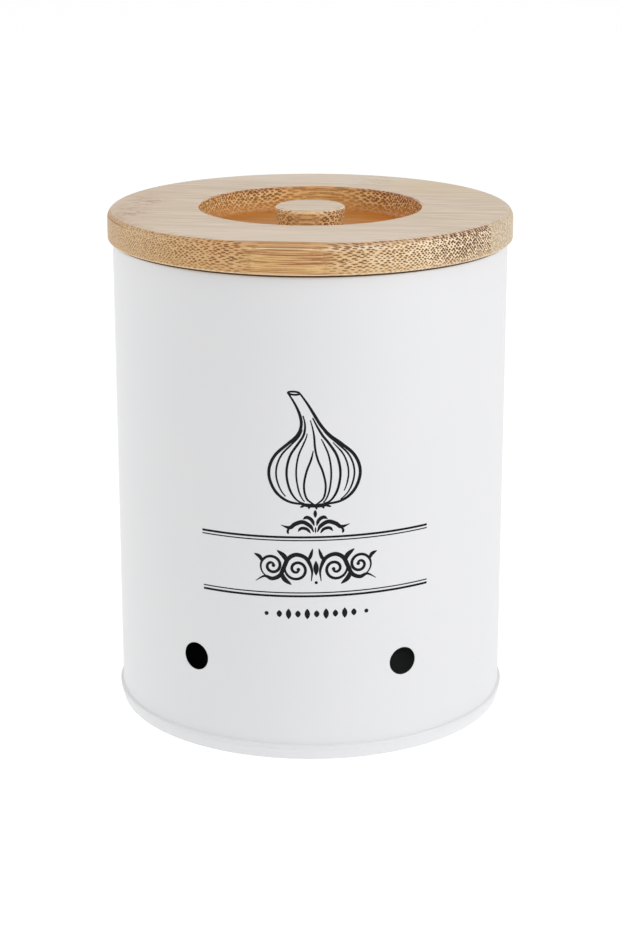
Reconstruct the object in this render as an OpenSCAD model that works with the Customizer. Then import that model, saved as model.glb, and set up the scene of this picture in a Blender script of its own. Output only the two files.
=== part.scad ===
// Garlic keeper: a lacquered tinplate canister with vent holes round its foot, and a
// bamboo lid that plugs into its mouth. Lengths are in millimetres. The origin is the
// centre of the base, on the surface that the canister stands on; +Z is up, and the
// printed front faces -Y. Sections are drawn in the r-z plane, as [radius, height].

/* [Body] */
// Outside diameter of the rolled wall
body_d = 126.8; // [100:0.1:160]
// Height of the mouth above the surface that the canister stands on
body_h = 154.9; // [100:0.1:220]
// Thickness of the tinplate
sheet = 0.32; // [0.25:0.01:0.4]
// Outer radius of the edge that is rolled inwards at the mouth
curl_r = 1.3; // [1:0.05:1.8]

/* [Side seam] */
// Width of the folded lock seam down the back
lock_w = 5; // [3:0.1:8]
// Gap between the seam's folded layers
lock_slack = 0.03; // [0.01:0.01:0.08]
// Height left clear of folds under the mouth's rolled edge
lock_clear = 6; // [5:0.1:15]
// Width of the line that the fold leaves outside
lock_line_w = 0.4; // [0.2:0.05:0.8]
// Depth of that line
lock_line_t = 0.12; // [0.05:0.01:0.16]

/* [Vents] */
// Diameter of a vent hole
vent_d = 9; // [5:0.1:14]
// Height of the vents' centres
vent_z = 30.6; // [18:0.1:80]
// Number of vents in the row round the wall
vent_count = 6; // [3:1:8]
// Plain length of wall between the row's two ends, across the side seam
vent_land = 56.6; // [30:0.1:90]
// How far the row's middle sits to the left of the front, along the wall
vent_shift = 5.9; // [-10:0.1:10]

/* [Foot] */
// Height of the double seam that holds the base on
foot_h = 5; // [4.2:0.1:7]
// Gap between the double seam's folded layers
foot_slack = 0.08; // [0.04:0.01:0.15]
// Angle by which the double seam leans in towards the base, in degrees
foot_lean = 14; // [5:0.5:18]
// Inside radius of the bend where the wall turns in to the double seam
neck_r = 2.5; // [1.5:0.1:4]
// Depth of metal pressed flat where the foot stands
foot_flat = 0.05; // [0.03:0.01:0.08]

/* [Base] */
// Height of the base's outer panel
panel_z = 4.2; // [4:0.1:8]
// Bend radius between that panel and the wall of the double seam
panel_bend = 0.8; // [0.5:0.05:1.2]
// How far the pressed step lies inside the wall
step_inset = 11.4; // [8:0.1:25]
// How far the middle of the base is pressed down
step_drop = 1.2; // [0.6:0.1:2]
// Slope of the step, in degrees
step_slope = 60; // [45:1:75]

/* [Lid board] */
// How far the board reaches past the wall
lid_over = 1.6; // [0.5:0.1:5]
// Thickness of the board above the mouth
lid_t = 9.9; // [9.2:0.1:16]
// Gap between the board and the mouth when the lid is on
lid_seat = 0.2; // [0.1:0.05:0.4]
// Radius round the board's top edge
top_edge = 3; // [0.3:0.05:4]
// Chamfer round the board's bottom edge
under_edge = 0.5; // [0.3:0.05:1.5]

/* [Plug] */
// Depth of the plug below the board
plug_h = 8.5; // [6.5:0.1:14]
// Gap between the plug and the mouth, which the seal's lips close
plug_gap = 1.8; // [1.2:0.1:3]
// Chamfer round the plug's lower edge
plug_edge = 1; // [0.4:0.1:2]

/* [Finger recess] */
// Diameter of the round recess in the top of the board
recess_d = 71.4; // [50:0.1:90]
// Depth of the recess
recess_depth = 8; // [5:0.1:12]
// Radius round the recess's top edge
recess_edge = 0.9; // [0.2:0.05:1.5]
// Radius of the cove round the recess's floor
cove_r = 1.5; // [0.5:0.1:2.5]

/* [Knob] */
// Diameter of the knob below its rounded edge
knob_d = 22.8; // [18:0.1:32]
// Diameter of the knob where it meets its foot's cove
knob_foot_d = 21; // [16:0.1:30]
// Radius round the knob's top
knob_edge = 1.5; // [0.2:0.05:2.5]

/* [Seal ring] */
// Depth of the plug's groove that holds the ring
groove_depth = 1.4; // [0.8:0.1:3]
// Height of that groove
groove_h = 3.6; // [3.4:0.1:4.5]
// Play between the ring and its groove
ring_play = 0.05; // [0.02:0.01:0.1]
// Gap between the ring's lips and the mouth
lip_gap = 0.06; // [0.03:0.01:0.1]
// Thickness of a lip at its root
lip_root = 0.9; // [0.6:0.05:1.1]
// Thickness of a lip at its tip
lip_tip = 0.4; // [0.2:0.05:0.6]
// Distance between the two lips
lip_pitch = 1.6; // [1.3:0.05:1.9]
// How far a lip's tip stands above its root
lip_rise = 0.7; // [0.3:0.05:0.9]

/* [Hidden] */
$fn = 128;
arc_step = 15; // largest step round an arc of a section, in degrees
join = 0.1; // how far a folded part runs into the wall that it is one piece with
reach = 5; // how far a cutter runs past what it cuts

body_r = body_d / 2;
inner_r = body_r - sheet;
wall_mid = body_r - sheet / 2;
curl_mid = curl_r - sheet / 2;
curl_c = [body_r - curl_r, body_h - curl_r];
curl_end = 290;
mouth_r = body_r - 2 * curl_r;

// The double seam leans by foot_lean. Its layers lie one pitch apart along "across",
// and run along "along".
pitch = sheet + foot_slack;
across = [cos(foot_lean), -sin(foot_lean)];
along = [sin(foot_lean), cos(foot_lean)];
crown = pitch + sheet / 2;
fold_z = 2 * pitch + sheet / 2 - foot_flat;
neck_z = foot_h - crown + 2 * pitch * sin(foot_lean) + crown * cos(foot_lean);
neck_c = [wall_mid - neck_r, neck_z + neck_r * sin(foot_lean)];
neck_end = neck_c + neck_r * across;
layer_drop = (neck_z - pitch * sin(foot_lean) - fold_z) / cos(foot_lean);
fold_c = neck_end + pitch * across - layer_drop * along;
crown_c = neck_end + 2 * pitch * across - crown * along;

step_r = body_r - step_inset;
step_bend = step_drop / (2 * (1 - cos(step_slope)));
wall_rise = (panel_z - panel_bend - fold_z - (2 * pitch + panel_bend) * sin(foot_lean)) / cos(foot_lean);
panel_c = fold_c - (2 * pitch + panel_bend) * across + wall_rise * along;

lock_t = 3 * (sheet + lock_slack);
lock_z = neck_c.y + reach;
lock_h = body_h - 2 * curl_r - lock_clear - lock_z;

vent_pitch = (PI * body_d - vent_land) / (vent_count - 1);
function turn(along_wall) = along_wall / (PI * body_d) * 360;
function vent_turn(i) = turn((i - (vent_count - 1) / 2) * vent_pitch - vent_shift);

under_z = body_h + lid_seat;
top_z = under_z + lid_t;
lid_r = body_r + lid_over;
plug_r = mouth_r - plug_gap;
plug_z = under_z - plug_h;
recess_r = recess_d / 2;
floor_z = top_z - recess_depth;

groove_r = plug_r - groove_depth;
ring_r = groove_r + ring_play;
lip_r = mouth_r - lip_gap;
ring_h = groove_h - 2 * ring_play;
// The upper lip's tip bears where the rolled edge is narrowest.
ring_z = curl_c.y - lip_pitch / 2 - lip_rise;

// Points along an arc round c, from angle a0 to angle a1
function arc(c, r, a0, a1) =
    let (n = max(2, ceil(abs(a1 - a0) / arc_step)))
    [for (i = [0:n]) let (a = a0 + (a1 - a0) * i / n) c + r * [cos(a), sin(a)]];

function reversed(v) = [for (i = [len(v) - 1:-1:0]) v[i]];

// One face of the body's sheet, s to the outside of its middle: from the free edge of
// the rolled mouth, down the wall and round the fold, up to the end of the body hook
function body_face(s) = concat(
    arc(curl_c, curl_mid + s, curl_end, 0),
    arc(neck_c, neck_r + s, 0, -foot_lean),
    arc(fold_c, pitch - s, 180 - foot_lean, 360 - foot_lean),
    [crown_c - s * across]
);

// One face of the base's sheet, s above its middle: from the centre over the step, down
// beside the wall, round under the body's fold, and over the body hook to the cover hook
function base_face(s) = concat(
    [[0, panel_z - step_drop + s]],
    arc([step_r, panel_z - step_drop + step_bend], step_bend - s, -90, step_slope - 90),
    arc([step_r + 2 * step_bend * sin(step_slope), panel_z - step_bend], step_bend + s, 90 + step_slope, 90),
    arc(panel_c, panel_bend + s, 90, -foot_lean),
    arc(fold_c, 2 * pitch - s, 180 - foot_lean, 360 - foot_lean),
    arc(crown_c, pitch - s, -foot_lean, 180 - foot_lean),
    [fold_c + s * across]
);

module lock_seam() {
    // Three more layers inside the wall, where the sheet's two edges hook together
    intersection() {
        difference() {
            translate([0, 0, lock_z]) cylinder(r = inner_r + join, h = lock_h);
            translate([0, 0, lock_z - reach]) cylinder(r = inner_r - lock_t, h = lock_h + 2 * reach);
        }
        translate([-lock_w / 2, 0, 0]) cube([lock_w, body_r + reach, body_h]);
    }
}

module lock_line() {
    // The line beside the seam outside, where one edge of the sheet turns in
    difference() {
        translate([lock_w / 2, 0, lock_z])
            cube([lock_line_w, body_r + reach, body_h - 2 * curl_r - lock_z]);
        cylinder(r = body_r - lock_line_t, h = body_h);
    }
}

module vent_holes() {
    for (i = [0:vent_count - 1])
        translate([0, 0, vent_z])
            rotate([90, 0, vent_turn(i)])
                cylinder(d = vent_d, h = body_r + reach);
}

module body_shell() {
    color("white")
        difference() {
            union() {
                rotate_extrude()
                    polygon(concat(body_face(sheet / 2), reversed(body_face(-sheet / 2))));
                lock_seam();
            }
            lock_line();
            vent_holes();
        }
}

module base_end() {
    color("whitesmoke")
        rotate_extrude()
            intersection() {
                polygon(concat(base_face(sheet / 2), reversed(base_face(-sheet / 2))));
                square([body_r + reach, foot_h + reach]);
            }
}

module lid_board() {
    knob_r = knob_d / 2;
    knob_foot_r = knob_foot_d / 2;
    color("burlywood")
        rotate_extrude()
            polygon(concat(
                [[0, plug_z], [plug_r - plug_edge, plug_z], [plug_r, plug_z + plug_edge]],
                [[plug_r, ring_z - groove_h / 2], [groove_r, ring_z - groove_h / 2]],
                [[groove_r, ring_z + groove_h / 2], [plug_r, ring_z + groove_h / 2]],
                [[plug_r, under_z], [lid_r - under_edge, under_z], [lid_r, under_z + under_edge]],
                arc([lid_r - top_edge, top_z - top_edge], top_edge, 0, 90),
                arc([recess_r + recess_edge, top_z - recess_edge], recess_edge, 90, 180),
                arc([recess_r - cove_r, floor_z + cove_r], cove_r, 0, -90),
                arc([knob_foot_r + cove_r, floor_z + cove_r], cove_r, -90, -180),
                arc([knob_r - knob_edge, top_z - knob_edge], knob_edge, 0, 90),
                [[0, top_z]]
            ));
}

module seal_ring() {
    function lip(z) = [
        [plug_r, z - lip_root / 2],
        [lip_r, z + lip_rise - lip_tip / 2],
        [lip_r, z + lip_rise + lip_tip / 2],
        [plug_r, z + lip_root / 2]
    ];
    color("gainsboro")
        rotate_extrude()
            polygon(concat(
                [[ring_r, ring_z - ring_h / 2], [plug_r, ring_z - ring_h / 2]],
                lip(ring_z - lip_pitch / 2),
                lip(ring_z + lip_pitch / 2),
                [[plug_r, ring_z + ring_h / 2], [ring_r, ring_z + ring_h / 2]]
            ));
}

body_shell();
base_end();
lid_board();
seal_ring();
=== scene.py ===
"""Looks of the garlic keeper: a white lacquered tin with vents and a bamboo lid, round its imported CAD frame.

Lengths are in metres and written as millimetres times MM. The tin's front, which carries the print, faces -Y.
Angles round the tin run from the front towards +X. Sections are drawn as (radius, height) and turned round Z.
"""

import math

import bpy
import numpy as np
from mathutils import Matrix, Vector


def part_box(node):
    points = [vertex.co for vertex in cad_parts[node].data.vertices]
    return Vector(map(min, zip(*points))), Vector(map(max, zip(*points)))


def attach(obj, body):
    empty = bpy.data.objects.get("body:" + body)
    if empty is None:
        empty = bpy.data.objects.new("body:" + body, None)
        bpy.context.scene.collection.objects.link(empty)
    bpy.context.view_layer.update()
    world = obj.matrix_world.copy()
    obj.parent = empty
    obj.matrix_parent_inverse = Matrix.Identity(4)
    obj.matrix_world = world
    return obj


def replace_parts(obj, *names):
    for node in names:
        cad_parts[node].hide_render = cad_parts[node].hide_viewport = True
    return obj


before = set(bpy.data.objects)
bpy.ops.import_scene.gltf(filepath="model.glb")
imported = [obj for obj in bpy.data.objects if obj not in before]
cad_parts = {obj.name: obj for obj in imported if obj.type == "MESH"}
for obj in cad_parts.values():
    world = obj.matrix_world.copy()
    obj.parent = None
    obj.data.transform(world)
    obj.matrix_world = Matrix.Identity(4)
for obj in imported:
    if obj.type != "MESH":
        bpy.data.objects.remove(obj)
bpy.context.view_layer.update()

MM = 0.001

# ---- Sizes that come from the frame ----
LID_LOW, LID_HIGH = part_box("lid_board")
SEAL_LOW, SEAL_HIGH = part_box("seal_ring")
FOOT_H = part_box("base_end")[1].z
BODY_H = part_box("body_shell")[1].z
LID_R = LID_HIGH.x
TOP_Z = LID_HIGH.z
PLUG_Z = LID_LOW.z
LIP_R = SEAL_HIGH.x

# ---- Tin ----
LID_OVER = 1.6 * MM
BODY_R = LID_R - LID_OVER
SHEET = 0.32 * MM
CURL_R = 1.3 * MM
CURL_END = 290
# Down to here the rolled edge is bare tinplate, which its finish darkens as painted shade for the line under
# the lid
BARE_EDGE = 0.62 * MM
PLAIN_TOP = 120 * MM
PLAIN_LOW = 60 * MM
LOCK_W = 5 * MM
LOCK_T = 1.05 * MM
LOCK_CLEAR = 6 * MM
LOCK_START = 5 * MM
LOCK_LINE_W = 0.4 * MM
LOCK_LINE_T = 0.12 * MM
FOLD_SOFT = 0.2 * MM
LINE_SOFT = 0.08 * MM

# ---- Vents ----
VENT_R = 4.5 * MM
VENT_Z = 30.6 * MM
VENT_COUNT = 6
VENT_LAND = 56.6 * MM
VENT_SHIFT = 5.9 * MM
VENT_PATCH = 7.75 * MM
VENT_SIDE = 16
VENT_EDGE_OUT = 0.14 * MM
VENT_EDGE_IN = 0.06 * MM
VENT_BLENDS = (0.72, 0.48, 0.28, 0.13)
VENT_BEND = np.linspace(0, math.pi / 2, 5)

# ---- Foot and base ----
FOOT_SLACK = 0.08 * MM
FOOT_LEAN = 14
FOOT_FLAT = 0.05 * MM
NECK_R = 2.5 * MM
FILL_TURN = 82
FILL_RISE = 0.3 * MM
FILL_BEND = 0.3
SEAM_LINE_DROP = 0.5 * MM
SEAM_LINE_W = 0.28 * MM
SEAM_LINE_T = 0.09 * MM
PANEL_Z = 4.2 * MM
PANEL_BEND = 0.8 * MM
STEP_INSET = 11.4 * MM
STEP_DROP = 1.2 * MM
STEP_SLOPE = 60
BARE_PANEL_Z = 2.6 * MM
BARE_PANEL_INSET = 2.4 * MM
FACING_UP = 0.05

# ---- Lid ----
LID_SEAT = 0.2 * MM
TOP_EDGE = 3 * MM
TOP_EDGE_STEP = 7.5
SANDED_EASE = 0.3 * MM
UNDER_EDGE = 0.5 * MM
PLUG_GAP = 1.8 * MM
PLUG_EDGE = 1 * MM
RECESS_R = 35.7 * MM
RECESS_DEPTH = 8 * MM
RECESS_EDGE = 0.9 * MM
COVE_R = 1.5 * MM
KNOB_R = 11.4 * MM
KNOB_FOOT_R = 10.5 * MM
KNOB_EDGE = 1.5 * MM
GROOVE_DEPTH = 1.4 * MM
GROOVE_H = 3.6 * MM
RING_PLAY = 0.05 * MM
LIP_ROOT = 0.9 * MM
LIP_TIP = 0.4 * MM
LIP_PITCH = 1.6 * MM
LIP_RISE = 0.7 * MM
MOULDED_EASE = 0.12 * MM

# ---- Print ----
INK_LIFT = 0.02 * MM
INK_SINK = 0.05 * MM
PRINT_TILT = 0.8
PRINT_MIDDLE = 64 * MM
PEN_TAPER = 0.18
STROKE_LIFT = 0.001 * MM
STROKE_LEVELS = 7

# ---- Meshing ----
ARC_STEP = 12
COLUMN_STEP = math.radians(1.0)
BASE_COLUMNS = 300
LID_COLUMNS = 320
SEAL_COLUMNS = 240
SMOOTH_UNDER = math.radians(32)
NEAR = 1e-7


# ======================= Sections =======================

def arc(centre, radius, start, end, step=ARC_STEP):
    """centre + radius * (cos a, sin a), with a running evenly from start to end, in degrees."""
    count = max(3, int(math.ceil(abs(end - start) / step)) + 1)
    a = np.radians(np.linspace(start, end, count))
    return np.column_stack((centre[0] + radius * np.cos(a), centre[1] + radius * np.sin(a)))


def section(*parts):
    """One array of points out of points and runs of points."""
    return np.vstack([np.atleast_2d(np.asarray(p, float)) for p in parts])


def eased(points, radius, steps=4, least_turn=20):
    """Rounds the corners that turn by more than least_turn degrees. Each becomes the quadratic curve whose
    middle control point is the corner and whose ends lie up to radius away from it on its two sides."""
    t = np.linspace(0, 1, steps + 1)[:, None]
    out = [points[:1]]
    for before, corner, after in zip(points[:-2], points[1:-1], points[2:]):
        a, b = before - corner, after - corner
        a_long, b_long = np.linalg.norm(a), np.linalg.norm(b)
        turn = 180 - math.degrees(math.acos(np.clip(a @ b / (a_long * b_long), -1, 1)))
        if turn < least_turn:
            out.append(corner[None])
            continue
        reach = min(radius, 0.45 * a_long, 0.45 * b_long)
        p, q = corner + a / a_long * reach, corner + b / b_long * reach
        out.append((1 - t) ** 2 * p + 2 * t * (1 - t) * corner + t ** 2 * q)
    out.append(points[-1:])
    return np.vstack(out)


# The double seam's leaning layers, worked out as in the CAD source
PITCH = SHEET + FOOT_SLACK
LEAN = math.radians(FOOT_LEAN)
ACROSS = np.array([math.cos(LEAN), -math.sin(LEAN)])
ALONG = np.array([math.sin(LEAN), math.cos(LEAN)])
WALL_MID = BODY_R - SHEET / 2
CURL_C = np.array([BODY_R - CURL_R, BODY_H - CURL_R])
CROWN = PITCH + SHEET / 2
FOLD_Z = 2 * PITCH + SHEET / 2 - FOOT_FLAT
NECK_Z = FOOT_H - CROWN + 2 * PITCH * math.sin(LEAN) + CROWN * math.cos(LEAN)
NECK_C = np.array([WALL_MID - NECK_R, NECK_Z + NECK_R * math.sin(LEAN)])
NECK_END = NECK_C + NECK_R * ACROSS
LAYER_DROP = (NECK_Z - PITCH * math.sin(LEAN) - FOLD_Z) / math.cos(LEAN)
FOLD_C = NECK_END + PITCH * ACROSS - LAYER_DROP * ALONG
CROWN_C = NECK_END + 2 * PITCH * ACROSS - CROWN * ALONG
STEP_R = BODY_R - STEP_INSET
STEP_BEND = STEP_DROP / (2 * (1 - math.cos(math.radians(STEP_SLOPE))))
WALL_RISE = (PANEL_Z - PANEL_BEND - FOLD_Z - (2 * PITCH + PANEL_BEND) * math.sin(LEAN)) / math.cos(LEAN)
PANEL_C = FOLD_C - (2 * PITCH + PANEL_BEND) * ACROSS + WALL_RISE * ALONG
LOCK_Z = NECK_C[1] + LOCK_START
LOCK_TOP = BODY_H - 2 * CURL_R - LOCK_CLEAR
LINE_TOP = BODY_H - 2 * CURL_R

# The mouth, the plug in it and the groove for the seal ring
MOUTH_R = BODY_R - 2 * CURL_R
PLUG_R = MOUTH_R - PLUG_GAP
GROOVE_R = PLUG_R - GROOVE_DEPTH


def wall_heights():
    """Heights of the wall's rows, from the mouth down: rows at the ends of the lock seam's folds, and even
    rows across the vents."""
    vents = np.linspace(VENT_Z + VENT_PATCH, VENT_Z - VENT_PATCH, VENT_SIDE + 1)
    line = [LINE_TOP + LINE_SOFT / 2, LINE_TOP - LINE_SOFT / 2]
    lock_top = [LOCK_TOP + FOLD_SOFT / 2, LOCK_TOP - FOLD_SOFT / 2]
    lock_end = [LOCK_Z + FOLD_SOFT / 2, LOCK_Z - FOLD_SOFT / 2]
    return np.concatenate([line, lock_top, np.linspace(PLAIN_TOP, PLAIN_LOW, 3), vents, lock_end])


def body_face(s):
    """One face of the body's sheet, s outside its middle: rolled edge, wall, neck, fold and hook. Outside,
    lacquer fills the crevice between the neck and the double seam's crown."""
    z = wall_heights()
    neck = arc(NECK_C, NECK_R + s, 0, -FOOT_LEAN)
    if s > 0:
        turn = math.radians(FILL_TURN)
        shoulder = CROWN_C + CROWN * np.array([math.cos(turn), math.sin(turn)])
        foot = np.array([WALL_MID + s, shoulder[1] + FILL_RISE])
        bend = np.array([WALL_MID + s, shoulder[1] + FILL_BEND * FILL_RISE])
        upper = 0.4 * foot + 0.5 * bend + 0.1 * shoulder
        lower = 0.1 * foot + 0.5 * bend + 0.4 * shoulder
        neck = section(foot, upper, lower, shoulder, CROWN_C)
    return section(
        arc(CURL_C, CURL_R - SHEET / 2 + s, CURL_END, 0),
        np.column_stack((np.full(len(z), WALL_MID + s), z)),
        neck,
        arc(FOLD_C, PITCH - s, 180 - FOOT_LEAN, 360 - FOOT_LEAN),
        CROWN_C - s * ACROSS,
    )


def seam_line(s):
    """The shallow line that the rollers press round the double seam's outer layer."""
    at = CROWN_C + (PITCH - s) * ACROSS - SEAM_LINE_DROP * ALONG
    half = SEAM_LINE_W / 2 * ALONG
    return section(at - half, at - SEAM_LINE_T * ACROSS, at + half)


def base_face(s):
    """One face of the base's sheet, s above its middle: panel, step, wall, fold, crown and hook."""
    outer_bend = STEP_R + 2 * STEP_BEND * math.sin(math.radians(STEP_SLOPE))
    return section(
        [0, PANEL_Z - STEP_DROP + s],
        arc([STEP_R, PANEL_Z - STEP_DROP + STEP_BEND], STEP_BEND - s, -90, STEP_SLOPE - 90),
        arc([outer_bend, PANEL_Z - STEP_BEND], STEP_BEND + s, 90 + STEP_SLOPE, 90),
        arc(PANEL_C, PANEL_BEND + s, 90, -FOOT_LEAN),
        arc(FOLD_C, 2 * PITCH - s, 180 - FOOT_LEAN, 360 - FOOT_LEAN),
        seam_line(s),
        arc(CROWN_C, PITCH - s, -FOOT_LEAN, 180 - FOOT_LEAN),
        FOLD_C + s * ACROSS,
    )


# ======================= Meshes =======================

def place(radius, angle, height):
    """The point at that radius, angle from the front and height, as an array with x, y and z last."""
    radius, angle, height = np.broadcast_arrays(radius, angle, height)
    return np.stack((radius * np.sin(angle), -radius * np.cos(angle), height), -1)


def new_object(name, data):
    """An object of that mesh, lamp or camera, in the scene."""
    obj = bpy.data.objects.new(name, data)
    bpy.context.scene.collection.objects.link(obj)
    return obj


def facing_out(points, quads):
    """Turns every face round if the closed surface's volume, the sum of its faces' tetrahedra to the
    origin, is negative."""
    a, b, c, d = (points[quads[:, i]] for i in range(4))
    volume = np.einsum("ij,ij->i", a, np.cross(b, c) + np.cross(c, d)).sum()
    return quads[:, ::-1] if volume < 0 else quads


def make_piece(name, points, quads, body, finishes, which=None):
    """A mesh object from arrays. A quad whose last corner repeats its third is a triangle. which holds each
    face's place in finishes."""
    faces = [tuple(dict.fromkeys(q)) for q in facing_out(points, quads).tolist()]
    mesh = bpy.data.meshes.new(name)
    mesh.from_pydata(points.tolist(), [], faces)
    mesh.polygons.foreach_set("use_smooth", np.ones(len(faces), bool))
    for finish in finishes:
        mesh.materials.append(finish)
    if which is not None:
        mesh.polygons.foreach_set("material_index", np.asarray(which, np.int32))
    mesh.set_sharp_from_angle(angle=SMOOTH_UNDER)
    mesh.update()
    obj = new_object(name, mesh)
    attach(obj, body)
    return obj


def grid_quads(rows, columns):
    """The quads of a grid of rows by columns, whose columns meet round the tin, and whose rows meet too."""
    i = np.arange(rows)[:, None]
    j = np.arange(columns)[None, :]
    i1, j1 = (i + 1) % rows, (j + 1) % columns
    return np.stack([i * columns + j, i1 * columns + j, i1 * columns + j1, i * columns + j1], -1)


def turned(profile, columns):
    """Points and quads of a closed section turned round Z. Each of its points on the axis becomes a pole."""
    angles = np.linspace(0, 2 * math.pi, columns, endpoint=False)
    points = place(profile[:, :1], angles[None, :], profile[:, 1:]).reshape(-1, 3)
    quads = grid_quads(len(profile), columns).reshape(-1, 4)
    index = np.arange(len(points))
    for row in np.flatnonzero(profile[:, 0] < NEAR):
        index[row * columns:(row + 1) * columns] = row * columns
    return tidied(points, index[quads])


def tidied(points, quads):
    """Drops unused points and faces of no area. A quad with two corners on one point is left as a triangle,
    with its repeated corner last."""
    same = quads == np.roll(quads, -1, axis=1)
    keep = same.sum(1) < 2
    quads, same = quads[keep], same[keep]
    turn = np.where(same.any(1), same.argmax(1) - 2, 0)
    quads = np.take_along_axis(quads, (np.arange(4)[None, :] + turn[:, None]) % 4, 1)
    used, quads = np.unique(quads, return_inverse=True)
    return points[used], quads.reshape(-1, 4)


def vent_turns():
    """The vents' angles: an even row round the wall that leaves VENT_LAND plain across the side seam."""
    pitch = (2 * math.pi * BODY_R - VENT_LAND) / (VENT_COUNT - 1)
    return ((np.arange(VENT_COUNT) - (VENT_COUNT - 1) / 2) * pitch - VENT_SHIFT) / BODY_R


def wall_columns():
    """Angles of the wall's columns from the first vent's patch round to it again, with even columns across
    each vent, and columns on the edges of the lock seam's folds and line."""
    half = VENT_PATCH / BODY_R
    ramp = np.array([-0.5, 0.5])
    folds = np.array([-LOCK_W / 2, LOCK_W / 2])[:, None] + FOLD_SOFT * ramp
    lines = np.array([LOCK_W / 2, LOCK_W / 2 + LOCK_LINE_W])[:, None] + LINE_SOFT * ramp
    seam = math.pi - np.sort(np.concatenate([folds.ravel(), lines.ravel()])) / BODY_R
    turns = vent_turns()
    first = turns[0] - half
    seam = np.sort((seam - first) % (2 * math.pi) + first)
    stops = np.sort(np.concatenate([turns - half, turns + half, seam, [first + 2 * math.pi]]))
    spans = []
    for start, end in zip(stops[:-1], stops[1:]):
        on_vent = np.any(np.abs(turns - (start + end) / 2) < half / 2)
        count = VENT_SIDE if on_vent else max(1, math.ceil((end - start) / COLUMN_STEP))
        spans.append(np.linspace(start, end, count, endpoint=False))
    return np.concatenate(spans)


def band(x, low, high, soft):
    """1 between low and high and 0 outside, with ramps of width soft centred on the two ends."""
    return np.clip((x - low) / soft + 0.5, 0, 1) * np.clip((high - x) / soft + 0.5, 0, 1)


def lock_seam_offset(angles, heights, outer):
    """How far the wall leaves its circle at the back: in by LOCK_T where the folded layers lie on the inner
    face, and in by LOCK_LINE_T along the line on the outer face. x runs along the wall towards +X."""
    x = (math.pi - angles % (2 * math.pi)) * BODY_R
    if outer:
        beside = band(x, LOCK_W / 2, LOCK_W / 2 + LOCK_LINE_W, LINE_SOFT)
        return -LOCK_LINE_T * band(heights, LOCK_Z, LINE_TOP, LINE_SOFT) * beside
    return -LOCK_T * band(heights, LOCK_Z, LOCK_TOP, FOLD_SOFT) * band(x, -LOCK_W / 2, LOCK_W / 2, FOLD_SOFT)


def wall_row(face, wall_r, height):
    """The row of a face's section that lies on the wall at that height."""
    off_wall = np.abs(face[:, 0] - wall_r) > NEAR
    return int(np.argmin(np.where(off_wall, np.inf, np.abs(face[:, 1] - height))))


def patch_border(rows, columns, row, column):
    """Grid indices round a vent's square patch, anticlockwise seen from outside, from its corner at 45
    degrees."""
    side, none, full = np.arange(VENT_SIDE), np.zeros(VENT_SIDE, int), np.full(VENT_SIDE, VENT_SIDE)
    down = np.concatenate([none, side, full, VENT_SIDE - side])
    along = np.concatenate([VENT_SIDE - side, none, side, full])
    return (row + down) % rows * columns + (column + along) % columns


def mirrored_border(border):
    """The border of a patch whose rows run upwards, in the order that matches the outer face's border point
    for point: it starts at its lower right corner and runs left, up, right and down, so it is turned round
    and rolled on to its upper right corner."""
    return np.roll(border[::-1], 1 - VENT_SIDE)


def vent_rings(turn, outer_border, inner_border):
    """Rings of points between a vent's borders on the two faces of the sheet. On each face they blend the
    hole's circle with the square border, circle + share * (square - circle). Two quarter circles round the
    hole's edges join them through the sheet."""
    count = len(outer_border)
    spoke = math.pi / 4 + np.arange(count) / count * 2 * math.pi
    circle = np.column_stack((np.cos(spoke), np.sin(spoke)))
    outer_r, inner_r = BODY_R, BODY_R - SHEET
    flats = []
    for sheet_r, at, edge in ((outer_r, outer_border, VENT_EDGE_OUT), (inner_r, inner_border, VENT_EDGE_IN)):
        x = sheet_r * np.sin(np.arctan2(at[:, 0], -at[:, 1]) - turn)
        square = np.column_stack((x, at[:, 2] - VENT_Z))
        hole = circle * (VENT_R + edge)
        flats.append([(sheet_r, hole + (square - hole) * share) for share in VENT_BLENDS])
    bends = list(zip(1 - np.sin(VENT_BEND), 1 - np.cos(VENT_BEND)))
    lip = [(outer_r - VENT_EDGE_OUT * c, circle * (VENT_R + VENT_EDGE_OUT * s)) for s, c in bends]
    back = [(inner_r + VENT_EDGE_IN * s, circle * (VENT_R + VENT_EDGE_IN * c)) for s, c in bends[::2]]
    return [place(ring_r, turn + np.arcsin(ring[:, 0] / ring_r), VENT_Z + ring[:, 1])
            for ring_r, ring in flats[0] + lip + back + flats[1][::-1]]


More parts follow.
